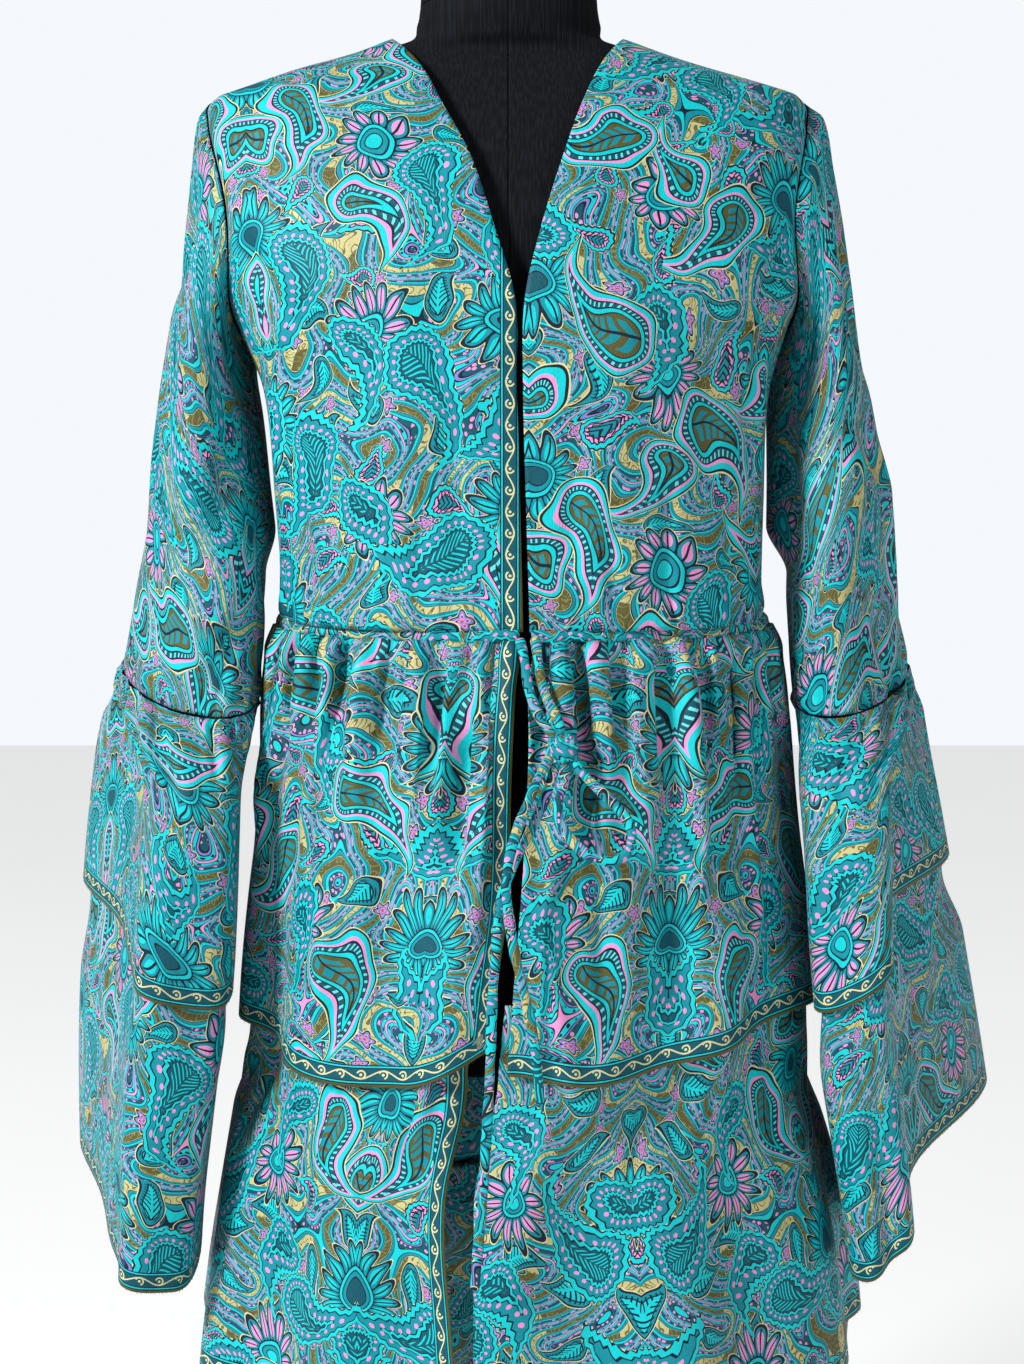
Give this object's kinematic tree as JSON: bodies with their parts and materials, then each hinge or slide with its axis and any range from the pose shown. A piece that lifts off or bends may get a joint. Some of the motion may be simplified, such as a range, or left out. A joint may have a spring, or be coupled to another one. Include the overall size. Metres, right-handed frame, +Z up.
{
  "type": "kimono robe on dress form",
  "caption": "Open-front kimono robe with a V neck, gathered waist and tie, tiered bell sleeves and a tiered skirt, worn by a limbless dress form on a round stand.",
  "frame": {"origin": "middle of the stand base's underside, on the floor", "axes": "+Z up; the robe's open front faces -Y; +X is to the right of someone looking at the front"},
  "size_m": [0.6871, 0.4368, 1.5283],
  "materials": {
    "cloth": "fine crepe with an all-over paisley print",
    "tie": "fine crepe, folded flat and stitched",
    "form_jersey": "matt jersey",
    "stand_metal": "satin"
  },
  "bodies": {
    "root": {"bodice_front_left": "cloth", "bodice_front_right": "cloth", "bodice_back": "cloth", "sleeve_upper_left": "cloth", "sleeve_upper_right": "cloth", "sleeve_flounce_upper_left": "cloth", "sleeve_flounce_upper_right": "cloth", "sleeve_flounce_lower_left": "cloth", "sleeve_flounce_lower_right": "cloth", "skirt_peplum": "cloth", "skirt_tier_2": "cloth", "skirt_tier_3": "cloth", "waist_casing": "cloth", "drawstring_strand_left": "tie", "drawstring_strand_right": "tie", "drawstring_loop": "tie", "drawstring_tail_right": "tie", "drawstring_tail_left": "tie", "drawstring_knot": "tie", "form_torso": "form_jersey", "form_neck": "form_jersey", "stand_base": "stand_metal", "stand_pole": "stand_metal"}
  },
  "joints": []
}
